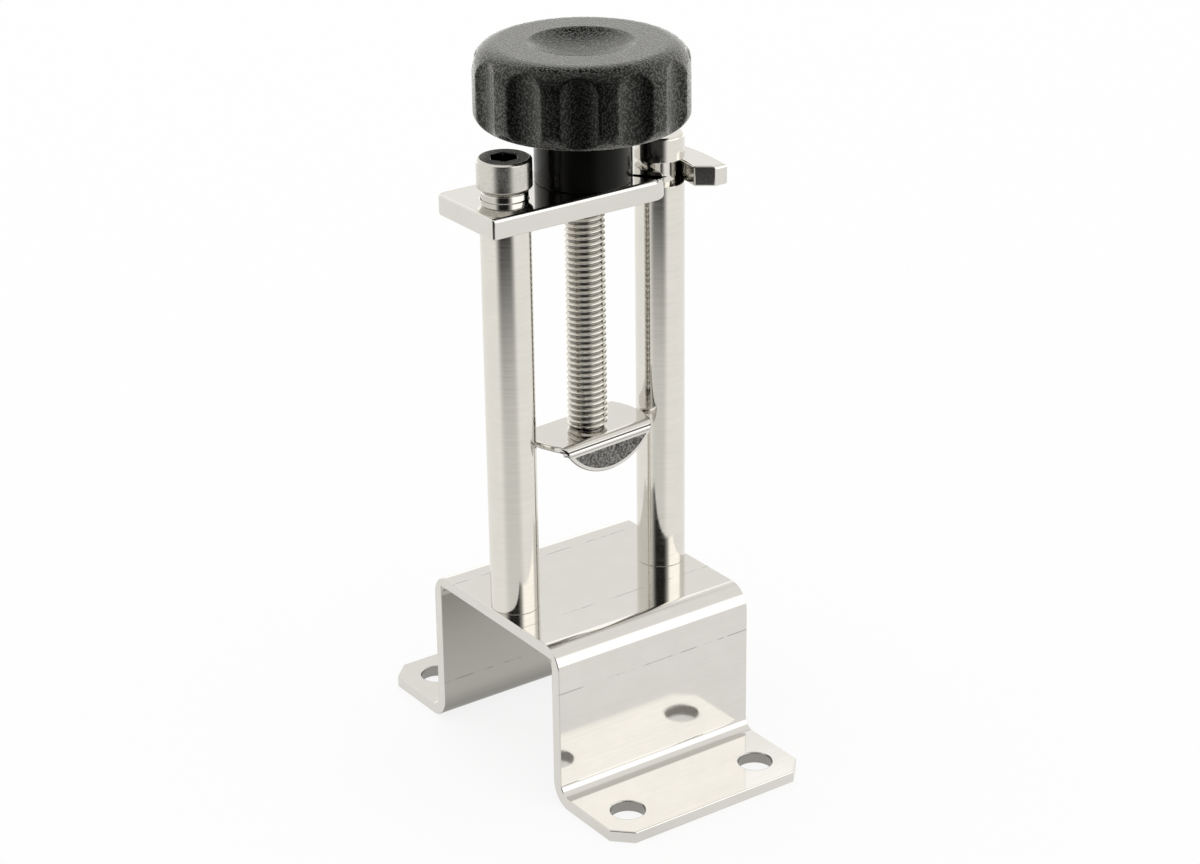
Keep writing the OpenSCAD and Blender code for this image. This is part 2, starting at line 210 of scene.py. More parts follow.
def vector_of(tree, x, y, z=0.0):
    """The vector with this X, Y and Z."""
    return add(tree, "ShaderNodeCombineXYZ", {"X": x, "Y": y, "Z": z}).outputs["Vector"]


def distance(tree, x, y):
    """Distance that these two offsets make together."""
    return calc_vector(tree, "LENGTH", vector_of(tree, x, y), gives="Value")


def from_axis(tree, vector):
    """Distance of a place from the Z axis."""
    return calc_vector(tree, "LENGTH", calc_vector(tree, "MULTIPLY", vector, LEVEL), gives="Value")


def both(tree, *masks):
    """1 where every mask is 1."""
    whole = masks[0]
    for mask in masks[1:]:
        whole = calc(tree, "MULTIPLY", whole, mask)
    return whole


def soft_step(tree, value, start, end):
    """0 before start, 1 after end, and a smooth rise between. Start may lie above end."""
    rise = add(tree, "ShaderNodeMapRange",
               {"Value": value, "From Min": min(start, end), "From Max": max(start, end)},
               interpolation_type="SMOOTHSTEP").outputs["Result"]
    return rise if start < end else calc(tree, "SUBTRACT", 1.0, rise)


def spread(tree, value, start, end, low, high):
    """Runs from low to high as the value runs from start to end."""
    return add(tree, "ShaderNodeMapRange", {"Value": value, "From Min": start, "From Max": end,
                                            "To Min": low, "To Max": high}).outputs["Result"]


def noise(tree, place, scale, detail, roughness):
    """A cloudy pattern from 0 to 1."""
    return add(tree, "ShaderNodeTexNoise", {"Vector": place, "Scale": scale, "Detail": detail,
                                            "Roughness": roughness}).outputs["Fac"]


def blend(tree, factor, first, second):
    """The first colour where the factor is 0, and the second where it is 1."""
    return add(tree, "ShaderNodeMix", {"Factor": factor, "A": first, "B": second},
               data_type="RGBA").outputs["Result"]


def per_metre(size_mm):
    """Scale of a pattern whose features are about this many millimetres."""
    return 1000.0 / size_mm


def new_material(name, base, metallic, roughness):
    """A material with one Principled shader. Gives the material, its tree and its shader."""
    material = bpy.data.materials.new(name)
    material.use_nodes = True
    tree = material.node_tree
    shader = tree.nodes["Principled BSDF"]
    shader.inputs["Base Color"].default_value = base
    shader.inputs["Metallic"].default_value = metallic
    shader.inputs["Roughness"].default_value = roughness
    return material, tree, shader


def grained_steel(name, tone, dark_tone, roughness, rough_spread, grain_mm, grain_height, mottling=0.2,
                  patches=None):
    """Stainless steel with a directed grain.

    grain_mm holds the grain's length along X, Y and Z. The grain varies the roughness and stands
    grain_height proud as bump, and a cloudy pattern of a few millimetres varies the tone. patches, if
    given, takes the tree, the place and the grain, and gives each place where the steel takes another tone,
    for another finish and for painted shade and painted dark reflection, with that tone and how much
    rougher it is.
    """
    material, tree, shader = new_material(name, tone, 1.0, roughness)
    place = add(tree, "ShaderNodeTexCoord").outputs["Object"]
    stretched = add(tree, "ShaderNodeMapping",
                    {"Vector": place, "Scale": [per_metre(size) for size in grain_mm]}).outputs["Vector"]
    grain = noise(tree, stretched, 1.0, 3.0, 0.6)
    cloud = noise(tree, place, per_metre(7), 4.0, 0.55)
    rough = spread(tree, grain, 0.3, 0.7, roughness - rough_spread, roughness + rough_spread)
    toned = calc(tree, "MULTIPLY_ADD", grain, mottling, calc(tree, "MULTIPLY", cloud, mottling))
    colour = blend(tree, toned, tone, dark_tone)
    for where, patch_tone, rougher in patches(tree, place, grain) if patches else ():
        colour = blend(tree, where, colour, patch_tone)
        rough = calc(tree, "MULTIPLY_ADD", where, rougher, rough)
    tree.links.new(colour, shader.inputs["Base Color"])
    tree.links.new(rough, shader.inputs["Roughness"])
    bump = add(tree, "ShaderNodeBump", {"Height": grain, "Distance": grain_height, "Strength": 1.0})
    tree.links.new(bump.outputs["Normal"], shader.inputs["Normal"])
    return material


def folding_marks_and_foot_shade(tree, place, grain):
    """The bracket's dull inside, with painted shade that darkens it towards its foot, the walls of its
    holes, and the faint lines that the press brake left along its folds.
    """
    axes = axes_of(tree, place)
    out, high = calc(tree, "ABSOLUTE", axes["Y"]), axes["Z"]
    near = 0.1 * MM
    inside = both(tree, calc(tree, "LESS_THAN", out, INSIDE + near),
                  calc(tree, "LESS_THAN", high, FOOT_HIGH.z - 2.9 * MM))
    from_bend = distance(tree, calc(tree, "SUBTRACT", out, INSIDE + FOLD),
                         calc(tree, "SUBTRACT", high, FOLD))
    under_bend = both(tree, calc(tree, "GREATER_THAN", from_bend, FOLD - near),
                      calc(tree, "LESS_THAN", out, INSIDE + FOLD), calc(tree, "LESS_THAN", high, FOLD))
    inside = calc(tree, "MAXIMUM", inside, under_bend)
    broken = soft_step(tree, noise(tree, place, per_metre(6), 2.0, 0.7), 0.42, 0.56)

    def line(axis, where, face):
        return both(tree, calc(tree, "COMPARE", axis, where, 0.16 * MM), broken, face)

    on_top = calc(tree, "GREATER_THAN", high, FOOT_HIGH.z - 0.5 * MM)
    outside = calc(tree, "GREATER_THAN", out, INSIDE + 2.5 * MM)
    scored = line(axes["Y"], -11.5 * MM, on_top)
    for more in (line(axes["Y"], 17.9 * MM, on_top), line(high, 30.3 * MM, outside),
                 line(high, 11.1 * MM, inside)):
        scored = calc(tree, "MAXIMUM", scored, more)
    # Painted shade: the dull inside darkens towards the bracket's foot
    low = both(tree, inside, soft_step(tree, high, 9 * MM, 2 * MM))
    from_hole = distance(tree, calc(tree, "SUBTRACT", calc(tree, "ABSOLUTE", axes["X"]), HOLE_X),
                         calc(tree, "SUBTRACT", out, HOLE_Y))
    walls = both(tree, calc(tree, "LESS_THAN", from_hole, HOLE_RADIUS + near),
                 calc(tree, "LESS_THAN", high, 2.85 * MM))
    dark = colours().root_steel
    return ((inside, colours().mill_steel, 0.26),
            (walls, colours().drilled_steel, 0.2),
            (calc(tree, "MULTIPLY", low, 0.5), dark, 0.0),
            (calc(tree, "MULTIPLY", scored, 0.38), dark, 0.1))


def polished_sheet():
    # Stainless sheet, cold rolled, folded on a press brake and polished to a mirror on its outside.
    # The eye gets a pale mirror with faint scored lines along the folds, a darker, duller inside with
    # painted shade towards its foot, and grey walls in the holes.
    return grained_steel("Mirror-polished stainless sheet", colours().polished_steel, colours().dull_steel,
                         0.09, 0.03, (60, 0.5, 0.5), 0.0006 * MM, patches=folding_marks_and_foot_shade)


def brushed_bar():
    # Drawn stainless bar, spun against an abrasive belt.
    # The eye gets upright bands with a grain that runs round the bar. The real grit leaves lines of about
    # 0.1 mm, and they are drawn 0.45 mm wide, so that they show.
    return grained_steel("Brushed stainless round bar", colours().satin_steel, colours().dull_steel,
                         0.12, 0.05, (9, 9, 0.45), 0.003 * MM, 0.22)


def polished_flat_bar():
    # Stainless flat bar, cut to shape and polished on its faces.
    # The eye gets a mirror on top, so the knob stands black in it, and a paler satin on the cut sides.
    return grained_steel("Polished stainless flat bar", colours().polished_steel, colours().dull_steel,
                         0.11, 0.03, (30, 0.4, 0.4), 0.0008 * MM, patches=polished_top)


def polished_top(tree, place, grain):
    """The bar's upper face, polished further than its cut sides."""
    on_top = calc(tree, "GREATER_THAN", axes_of(tree, place)["Z"], BAR_HIGH.z - 0.05 * MM)
    return ((on_top, colours().polished_steel, -0.075),)


def pressed_pad_steel():
    # Stainless blank, polished on its flat and its folds, with its pressed sides left tumbled.
    # The eye gets a bright mirror over two grainy half moons with a pale rim, whose dark tone is partly the
    # tumbled finish and partly a painted dark reflection, and dark lines along the folds. The grain is
    # about
    # 0.2 mm on the real pad and is drawn 0.6 mm wide, so that it shows.
    return grained_steel("Tumbled stainless pressing", colours().polished_steel, colours().dull_steel,
                         0.07, 0.02, (0.6, 0.6, 0.6), 0.001 * MM, patches=tumbled_sides_painted_dark)


def tumbled_sides_painted_dark(tree, place, grain):
    """The pad's flat sides, inside their rims, darkened partly for their tumbled finish and partly with a
    painted dark reflection, and two dark lines along each fold.
    """
    turned = add(tree, "ShaderNodeMapping", {"Vector": place, "Rotation": (0, 0, -PAD_TURN)})
    axes = axes_of(tree, turned.outputs["Vector"])
    out, high, top = calc(tree, "ABSOLUTE", axes["Y"]), axes["Z"], PAD_HIGH.z
    outside = calc(tree, "GREATER_THAN", out, 8.8 * MM)
    below = calc(tree, "LESS_THAN", high, top - 2.7 * MM)
    reach = distance(tree, axes["X"], calc(tree, "SUBTRACT", high, top + PAD_CENTRE))
    in_rim = calc(tree, "LESS_THAN", reach, PAD_RADIUS - 1.0 * MM)
    speckle = spread(tree, grain, 0.4, 0.6, 0.68, 1.0)
    fold = calc(tree, "GREATER_THAN", out, 6.7 * MM)
    upper = calc(tree, "COMPARE", high, top - 1.1 * MM, 0.18 * MM)
    lower = calc(tree, "COMPARE", high, top - 2.05 * MM, 0.12 * MM)
    lines = calc(tree, "MAXIMUM", upper, calc(tree, "MULTIPLY", lower, 0.5))
    # The half moons' dark tone is partly a painted dark reflection; their grain and roughness are the
    # tumbled finish
    return ((both(tree, fold, lines, 0.97), colours().tumbled_steel, 0.05),
            (both(tree, outside, below, in_rim, speckle), colours().tumbled_steel, 0.33))


def headed_screw_steel():
    # Stainless cap screw, cold headed and left satin by pickling.
    # The eye gets a grainy satin side and rim round a top that is painted black as shade, with painted
    # shade in its socket. The grain is drawn about twice as wide as it is, so that it shows.
    return grained_steel("Pickled stainless cap screw", colours().satin_steel, colours().dull_steel,
                         0.24, 0.06, (0.7, 0.7, 0.6), 0.004 * MM, 0.5, patches=screw_top_painted_shade)


def screw_top_painted_shade(tree, place, grain):
    """The flat top of the screw's head, under the knob's head, and its socket, painted dark as shade."""
    high = axes_of(tree, place)["Z"]
    out = from_axis(tree, calc_vector(tree, "ADD", place, (-PIVOT_X, 0, 0)))
    # Painted shade: the flat top under the knob's head and the socket's recess are darkened
    flat_top = both(tree, calc(tree, "GREATER_THAN", high, SCREW_HIGH.z - 0.06 * MM),
                    calc(tree, "LESS_THAN", out, 5.7 * MM))
    socket = both(tree, calc(tree, "GREATER_THAN", high, SCREW_HIGH.z - 5 * MM),
                  calc(tree, "LESS_THAN", out, 3.6 * MM))
    return ((calc(tree, "MAXIMUM", flat_top, socket), colours().painted_screw_shade, -0.1),)


def rolled_thread_steel():
    # Stainless rod with a rolled thread.
    # The eye gets bright burnished crests over darker, rougher roots, whose dark is partly grease and
    # partly painted shade.
    return grained_steel("Rolled stainless thread", colours().satin_steel, colours().dull_steel,
                         0.08, 0.03, (2, 2, 0.4), 0.001 * MM, patches=thread_roots_grease_and_shade)


def thread_roots_grease_and_shade(tree, place, grain):
    """The lower half of the thread's flanks and its root, by the distance from the spindle's axis, painted
    darker partly for grease and partly as shade.
    """
    deep = soft_step(tree, from_axis(tree, place), SPINDLE_RADIUS - 0.4 * MM, SPINDLE_RADIUS - 0.9 * MM)
    return ((calc(tree, "MULTIPLY", deep, 0.7), colours().root_steel, 0.05),)


def ground_sleeve_steel():
    # Stainless sleeve, turned and ground.
    # The eye gets a crisp bright ring with a black band.
    return grained_steel("Ground stainless sleeve", colours().polished_steel, colours().dull_steel,
                         0.06, 0.02, (6, 6, 0.4), 0.0005 * MM, 0.1)


def turned_steel():
    # Stainless bar turned on a lathe.
    # The eye gets fine rings that follow the tool.
    return grained_steel("Turned stainless", colours().satin_steel, colours().dull_steel,
                         0.18, 0.05, (6, 6, 0.14), 0.0015 * MM)


def moulded_knob_black():
    # Black phenolic, moulded in a spark-eroded tool and left matt.
    # The eye gets an even black grain that greys where the light grazes it, over a smooth hub whose gloss
    # is cut as painted shade under the head.
    # The real grain is about 0.3 mm wide and is drawn 0.5 mm wide, so that it shows.
    material, tree, shader = new_material("Moulded black phenolic", colours().knob_black, 0.0, 0.36)
    shader.inputs["IOR"].default_value = 1.6
    shader.inputs["Specular Tint"].default_value = linear("#FFFFF8")
    shader.inputs["Sheen Weight"].default_value = 0.45
    shader.inputs["Sheen Roughness"].default_value = 0.2
    place = add(tree, "ShaderNodeTexCoord").outputs["Object"]
    grain = noise(tree, place, per_metre(0.5), 0.0, 0.5)
    rough = spread(tree, grain, 0.35, 0.65, 0.15, 0.32)
    head_low = KNOB_LOW.z + sizes().hub_height
    on_head = calc(tree, "GREATER_THAN", axes_of(tree, place)["Z"], head_low - 0.1 * MM)
    # The hub is smoother than the head
    rough = calc(tree, "MULTIPLY_ADD", on_head, 0.05, calc(tree, "SUBTRACT", rough, 0.05))
    tree.links.new(rough, shader.inputs["Roughness"])
    pimples = calc(tree, "MULTIPLY", on_head, soft_step(tree, grain, 0.42, 0.68))
    # The pits of the grain catch no light, and the front gives less gloss than the flanks.
    turned_away = add(tree, "ShaderNodeLayerWeight", {"Blend": 0.5}).outputs["Facing"]
    # Painted shade: the hub gets half or less of the head's gloss, for the shade under the knob's head
    gloss = calc(tree, "MULTIPLY", calc(tree, "MULTIPLY_ADD", turned_away, 1.5, 0.13),
                 calc(tree, "MULTIPLY_ADD", pimples, 0.9, calc(tree, "MULTIPLY_ADD", on_head, 0.2, 0.2)))
    tree.links.new(gloss, shader.inputs["Specular IOR Level"])
    bump = add(tree, "ShaderNodeBump", {"Height": pimples, "Distance": 0.055 * MM, "Strength": 1.0})
    tree.links.new(bump.outputs["Normal"], shader.inputs["Normal"])
    return material


# Meshes

def shade_by_angle(mesh, degrees=SHARP):
    """Smooth faces, with an edge kept sharp where its faces turn by more than this angle."""
    work = bmesh.new()
    work.from_mesh(mesh)
    for face in work.faces:
        face.smooth = True
    for edge in work.edges:
        edge.smooth = len(edge.link_faces) != 2 or edge.calc_face_angle(0) < math.radians(degrees)
    work.to_mesh(mesh)
    work.free()


def new_piece(name, mesh, material):
    """An object at the origin that holds this mesh."""
    piece = bpy.data.objects.new(name, mesh)
    bpy.context.scene.collection.objects.link(piece)
    mesh.materials.clear()
    mesh.materials.append(material)
    return piece


def whole_edge(start, end):
    """Every edge takes the whole width of a round."""
    return 1.0


def softened_node(node, width, material, share=whole_edge):
    """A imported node's own shape, with its loose triangles joined and its edges rounded.

    share gives the part of the width that an edge takes, from its two ends.
    """
    mesh = bpy.data.meshes.new(node)
    work = bmesh.new()
    work.from_mesh(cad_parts[node].data)
    bmesh.ops.remove_doubles(work, verts=work.verts, dist=0.002 * MM)
    bmesh.ops.dissolve_limit(work, angle_limit=math.radians(0.5), verts=work.verts, edges=work.edges)
    work.normal_update()
    weights = work.edges.layers.float.new("bevel_weight_edge")
    for edge in work.edges:
        if len(edge.link_faces) == 2 and edge.calc_face_angle(0) > math.radians(SHARP):
            edge[weights] = share(*(corner.co for corner in edge.verts))
    work.to_mesh(mesh)
    work.free()
    shade_by_angle(mesh)
    piece = new_piece(node + "_finished", mesh, material)
    bevel = piece.modifiers.new("Edge round", "BEVEL")
    bevel.width = width
    bevel.segments = 3
    bevel.limit_method = "WEIGHT"
    bevel.use_clamp_overlap = False
    bevel.loop_slide = False
    weigh_normals(piece)
    return piece


def seat(piece, node, body):
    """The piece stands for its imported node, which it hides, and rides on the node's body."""
    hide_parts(node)
    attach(piece, body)


def arc(centre, radius, start, end, steps):
    """Points of an arc in a section, from start to end in degrees."""
    points = []
    for i in range(steps + 1):
        angle = math.radians(start + (end - start) * i / steps)
        points.append((centre[0] + radius * math.cos(angle), centre[1] + radius * math.sin(angle)))
    return points


def section_mesh(name, points):
    """The points of a section, radius and height, as a mesh that a turning tree reads in order."""
    mesh = bpy.data.meshes.new(name)
    mesh.from_pydata([(radius, height, 0) for radius, height in points], [], [])
    return mesh


def socket_ids(tree):
    """The identifier of each of a tree's named inputs."""
    return {item.name: item.identifier for item in tree.interface.items_tree
            if item.item_type == "SOCKET" and item.in_out == "INPUT"}


def bake(name, mesh, tree, inputs, material):
    """Runs a tree on a mesh and gives the result as a plain mesh object."""
    worker = bpy.data.objects.new(name + "_worker", mesh)
    bpy.context.scene.collection.objects.link(worker)
    modifier = worker.modifiers.new("Nodes", "NODES")
    modifier.node_group = tree
    identifiers = socket_ids(tree)
    for key, value in inputs.items():
        modifier[identifiers[key]] = value
    modifier[identifiers["Material"]] = material
    bpy.context.view_layer.update()
    evaluated = worker.evaluated_get(bpy.context.evaluated_depsgraph_get())
    result = bpy.data.meshes.new_from_object(evaluated)
    worker.modifiers.clear()
    bpy.data.objects.remove(worker)
    shade_by_angle(result, 50)
    return new_piece(name, result, material)


def weigh_normals(piece):
    """Flat faces keep their own normal beside small rounds."""
    modifier = piece.modifiers.new("Weighted normals", "WEIGHTED_NORMAL")
    modifier.keep_sharp = True


# Trees

def tree_with(name, sockets):
    """A geometry tree with these named inputs, and its group input and output."""
    tree = bpy.data.node_groups.new(name, "GeometryNodeTree")
    tree.interface.new_socket("Geometry", in_out="OUTPUT", socket_type="NodeSocketGeometry")
    tree.interface.new_socket("Geometry", in_out="INPUT", socket_type="NodeSocketGeometry")
    for label, kind in sockets:
        tree.interface.new_socket(label, in_out="INPUT", socket_type="NodeSocket" + kind)
    return tree, add(tree, "NodeGroupInput").outputs, add(tree, "NodeGroupOutput").inputs["Geometry"]


def unit_grid(tree, columns, rows):
    """A flat grid, and how far each of its points lies across it and along it, from 0 to 1."""
    grid = add(tree, "GeometryNodeMeshGrid",
               {"Size X": 1.0, "Size Y": 1.0, "Vertices X": columns, "Vertices Y": rows})
    place = axes_of(tree, add(tree, "GeometryNodeInputPosition").outputs[0])
    return grid.outputs["Mesh"], calc(tree, "ADD", place["X"], 0.5), calc(tree, "ADD", place["Y"], 0.5)


def round_axis(tree, radius, angle, height):
    """The place at this radius, angle and height about the Z axis."""
    return vector_of(tree, calc(tree, "MULTIPLY", radius, calc(tree, "COSINE", angle)),
                     calc(tree, "MULTIPLY", radius, calc(tree, "SINE", angle)), height)


def close_surface(tree, grid, position, given, output):
    """Moves the grid's points to their places, joins its seams and gives it its material."""
    moved = add(tree, "GeometryNodeSetPosition", {"Geometry": grid, "Position": position})
    joined = add(tree, "GeometryNodeMergeByDistance",
                 {"Geometry": moved.outputs["Geometry"], "Distance": 0.001 * MM})
    real = add(tree, "GeometryNodeRealizeInstances", {"Geometry": joined.outputs["Geometry"]})
    finished = add(tree, "GeometryNodeSetMaterial",
                   {"Geometry": real.outputs["Geometry"], "Material": given["Material"]})
    tree.links.new(finished.outputs["Geometry"], output)


def turning_tree():
    """Turns a section about Z and presses flutes into it, as many as asked for."""
    tree, given, output = tree_with("Turned and fluted", [
        ("Segments", "Int"), ("Flutes", "Int"), ("Flute Depth", "Float"), ("Flute Angle", "Float"),
        ("Turn", "Float"), ("Outer Radius", "Float"), ("Softness", "Float"),
        ("Centre", "Vector"), ("Material", "Material")])
    count = add(tree, "GeometryNodeAttributeDomainSize",
                {"Geometry": given["Geometry"]}).outputs["Point Count"]
    grid, across, along = unit_grid(tree, calc(tree, "ADD", given["Segments"], 1), count)
    angle = calc(tree, "MULTIPLY", across, math.tau)
    row = calc(tree, "ROUND", calc(tree, "MULTIPLY", along, calc(tree, "SUBTRACT", count, 1)))
    picked = add(tree, "GeometryNodeSampleIndex",
                 {"Geometry": given["Geometry"], "Value": add(tree, "GeometryNodeInputPosition").outputs[0],
                  "Index": row}, data_type="FLOAT_VECTOR", domain="POINT")
    section = axes_of(tree, picked.outputs["Value"])
    radius, height = section["X"], section["Y"]

    # A flute is a round cutter: its radius and its centre follow from the flute's depth and angle
    outer, depth = given["Outer Radius"], given["Flute Depth"]
    half = calc(tree, "MULTIPLY", given["Flute Angle"], 0.5)
    half_chord = calc(tree, "MULTIPLY", outer, calc(tree, "SINE", half))
    sagitta = calc(tree, "SUBTRACT", outer, calc(tree, "MULTIPLY", outer, calc(tree, "COSINE", half)))
    rise = calc(tree, "SUBTRACT", depth, sagitta)
    squares = calc(tree, "ADD", calc(tree, "POWER", half_chord, 2.0), calc(tree, "POWER", rise, 2.0))
    cutter = calc(tree, "DIVIDE", squares, calc(tree, "MULTIPLY", rise, 2.0))
    centre = calc(tree, "ADD", calc(tree, "SUBTRACT", outer, depth), cutter)
    flute_step = calc(tree, "DIVIDE", math.pi, given["Flutes"])
    local = calc(tree, "WRAP", calc(tree, "SUBTRACT", angle, given["Turn"]),
                 flute_step, calc(tree, "MULTIPLY", flute_step, -1.0))
    aside = calc(tree, "MULTIPLY", centre, calc(tree, "SINE", local))
    under = calc(tree, "SUBTRACT", calc(tree, "POWER", cutter, 2.0), calc(tree, "POWER", aside, 2.0))
    reach = calc(tree, "SQRT", calc(tree, "MAXIMUM", under, 0.0))
    flute = calc(tree, "SUBTRACT", calc(tree, "MULTIPLY", centre, calc(tree, "COSINE", local)), reach)
    cut = calc(tree, "SMOOTH_MIN", radius, flute, given["Softness"])

    placed = calc_vector(tree, "ADD", round_axis(tree, cut, angle, height), given["Centre"])
    close_surface(tree, grid, placed, given, output)
    return tree


def thread_tree():
    """A threaded rod along Z, closed at both ends, with a chamfer at each."""
    tree, given, output = tree_with("Rolled thread", [
        ("Segments", "Int"), ("Rings", "Int"), ("Radius", "Float"), ("Pitch", "Float"),
        ("Depth", "Float"), ("Foot", "Float"), ("Length", "Float"), ("Material", "Material")])
    rings = given["Rings"]
    columns, rows = calc(tree, "ADD", given["Segments"], 1), calc(tree, "ADD", rings, 3)
    grid, share, lengthwise = unit_grid(tree, columns, rows)
    step = calc(tree, "DIVIDE", given["Length"], rings)
    row = calc(tree, "MULTIPLY", lengthwise, calc(tree, "ADD", rings, 2))
    raw = calc(tree, "MULTIPLY", calc(tree, "SUBTRACT", row, 1.0), step)
    along = calc(tree, "MINIMUM", calc(tree, "MAXIMUM", raw, 0.0), given["Length"])

    # Crest at each whole turn, root halfway between
    turn = calc(tree, "FRACT", calc(tree, "SUBTRACT", calc(tree, "DIVIDE", along, given["Pitch"]), share))
    from_root = calc(tree, "ABSOLUTE", calc(tree, "MULTIPLY_ADD", turn, 2.0, -1.0))
    flank = add(tree, "ShaderNodeMapRange",
                {"Value": from_root, "From Min": 0.1, "From Max": 0.95, "To Min": 0.0, "To Max": 1.0},
                interpolation_type="SMOOTHSTEP").outputs["Result"]
    root = calc(tree, "SUBTRACT", given["Radius"], given["Depth"])
    thread = calc(tree, "MULTIPLY_ADD", flank, given["Depth"], root)
    from_end = calc(tree, "MINIMUM", along, calc(tree, "SUBTRACT", given["Length"], along))
    chamfer = calc(tree, "SUBTRACT", calc(tree, "ADD", root, from_end), 0.2 * MM)
    rod = calc(tree, "MINIMUM", thread, chamfer)

    # The first and last rows close the ends on the axis
    inside = calc(tree, "MULTIPLY", calc(tree, "GREATER_THAN", row, 0.5),
                  calc(tree, "LESS_THAN", row, calc(tree, "ADD", rings, 1.5)))
    radius = calc(tree, "MULTIPLY", rod, inside)
    angle = calc(tree, "MULTIPLY", share, math.tau)
    position = round_axis(tree, radius, angle, calc(tree, "ADD", along, given["Foot"]))
    close_surface(tree, grid, position, given, output)
    return tree


def turned_piece(name, points, material, centre=(0, 0, 0), segments=128, **flutes):
    """A piece turned about Z at centre, from its section's points.

    Without flutes, their outer radius of 1 m keeps them clear of the piece.
    """
    tree = bpy.data.node_groups.get("Turned and fluted") or turning_tree()
    inputs = {"Segments": segments, "Flutes": 12, "Flute Depth": 0.5 * MM, "Flute Angle": 0.01,
              "Turn": 0.0, "Outer Radius": 1.0, "Softness": 0.0, "Centre": centre}
    inputs.update(flutes)
    piece = bake(name, section_mesh(name, points), tree, inputs, material)
    weigh_normals(piece)
    return piece


# Pieces

class FAIRLEAD_OT_bracket(bpy.types.Operator):
    """Make the folded base bracket"""
    bl_idname = "fairlead.bracket"
    bl_label = "Base bracket"

    def execute(self, context):
        piece = softened_node("base_bracket", sizes().sheet_edge, polished_sheet())
        seat(piece, "base_bracket", "base")
        return {"FINISHED"}


def post_section(radius, low, shoulder, foot_hole, neck=None, head_hole=None):
    """Section of a post: its foot hole, its side, and above the shoulder a neck with a head or a hole."""
    edge = sizes().screw_edge
    hole_radius, hole_top = foot_hole
    points = [(0, hole_top), (hole_radius, hole_top), (hole_radius, low)]
    points += arc((radius - edge, low + edge), edge, -90, 0, 3)
    points += arc((radius - edge, shoulder - edge), edge, 0, 90, 3)
    if neck:
        neck_radius, head_low, head_top, chamfer = neck
        points += [(neck_radius, shoulder), (neck_radius, head_low)]
        points += arc((radius - edge, head_low + edge), edge, -90, 0, 3)
        points += [(radius, head_top - chamfer - edge), (radius - edge / 4, head_top - chamfer)]
        points += [(radius - chamfer, head_top - edge / 4), (radius - chamfer - edge, head_top)]
        points += [(0, head_top)]
    if head_hole:
        hole_radius, hole_floor = head_hole
        points += [(hole_radius, shoulder), (hole_radius, hole_floor), (0, hole_floor)]
    return points


class FAIRLEAD_OT_posts(bpy.types.Operator):
    """Make the two posts, one with a neck and a head for the bar's slot"""
    bl_idname = "fairlead.posts"
    bl_label = "Posts"

    def execute(self, context):
        material = brushed_bar()
        low, shoulder = PIVOT_LOW.z, PIVOT_HIGH.z
        foot_hole = (FOOT_HOLE_RADIUS, low + FOOT_HOLE_DEPTH)
        head_hole = (HEAD_HOLE_RADIUS, shoulder - HEAD_HOLE_DEPTH)
        neck = (NECK_RADIUS, LATCH_HIGH.z - HEAD_HEIGHT, LATCH_HIGH.z, HEAD_CHAMFER)
        pivot = turned_piece(
            "pivot_post_finished", post_section(POST_RADIUS, low, shoulder, foot_hole, head_hole=head_hole),
            material, (PIVOT_X, 0, 0))
        latch = turned_piece(
            "latch_post_finished", post_section(POST_RADIUS, low, shoulder, foot_hole, neck=neck),
            material, (LATCH_X, 0, 0))
        seat(pivot, "pivot_post", "base")
        seat(latch, "latch_post", "base")
        return {"FINISHED"}


def bar_edge_share(start, end):
    """The bar's near tail corner, its upper edge on the same side and its nose are rounded most."""
    if abs(start.z - end.z) > 1 * MM:
        return 1.0 if start.x < BAR_LOW.x + 1 * MM else 0.35
    on_top = min(start.z, end.z) > BAR_HIGH.z - 0.1 * MM
    on_side = max(start.y, end.y) < BAR_LOW.y + 0.1 * MM
    on_nose = min(start.x, end.x) > LATCH_HIGH.x
    return 0.9 if on_top and (on_side or on_nose) else 0.45


class FAIRLEAD_OT_bar(bpy.types.Operator):
    """Make the bar that swings over the chain"""
    bl_idname = "fairlead.bar"
    bl_label = "Swing bar"

    def execute(self, context):
        piece = softened_node("swing_bar", sizes().bar_edge, polished_flat_bar(), bar_edge_share)
        seat(piece, "swing_bar", "bar")
        return {"FINISHED"}


class FAIRLEAD_OT_pivot(bpy.types.Operator):
    """Make the cap screw and the sleeve that the bar turns on"""
    bl_idname = "fairlead.pivot"
    bl_label = "Pivot screw and sleeve"

    def execute(self, context):
        screw = softened_node("pivot_screw", sizes().screw_edge, headed_screw_steel())
        seat(screw, "pivot_screw", "base")
        bore, wall = SLEEVE_BORE, (SLEEVE_HIGH.y - SLEEVE_LOW.y) / 2
        low, top, chamfer = SLEEVE_LOW.z, SLEEVE_HIGH.z, SLEEVE_CHAMFER
        section = [(bore, low), (wall, low), (wall, top - chamfer), (wall - chamfer, top), (bore, top),
                   (bore, low)]
        sleeve = turned_piece(
            "pivot_sleeve_finished", section, ground_sleeve_steel(), (SLEEVE_X, 0, 0), 96)
        seat(sleeve, "pivot_sleeve", "base")
        return {"FINISHED"}


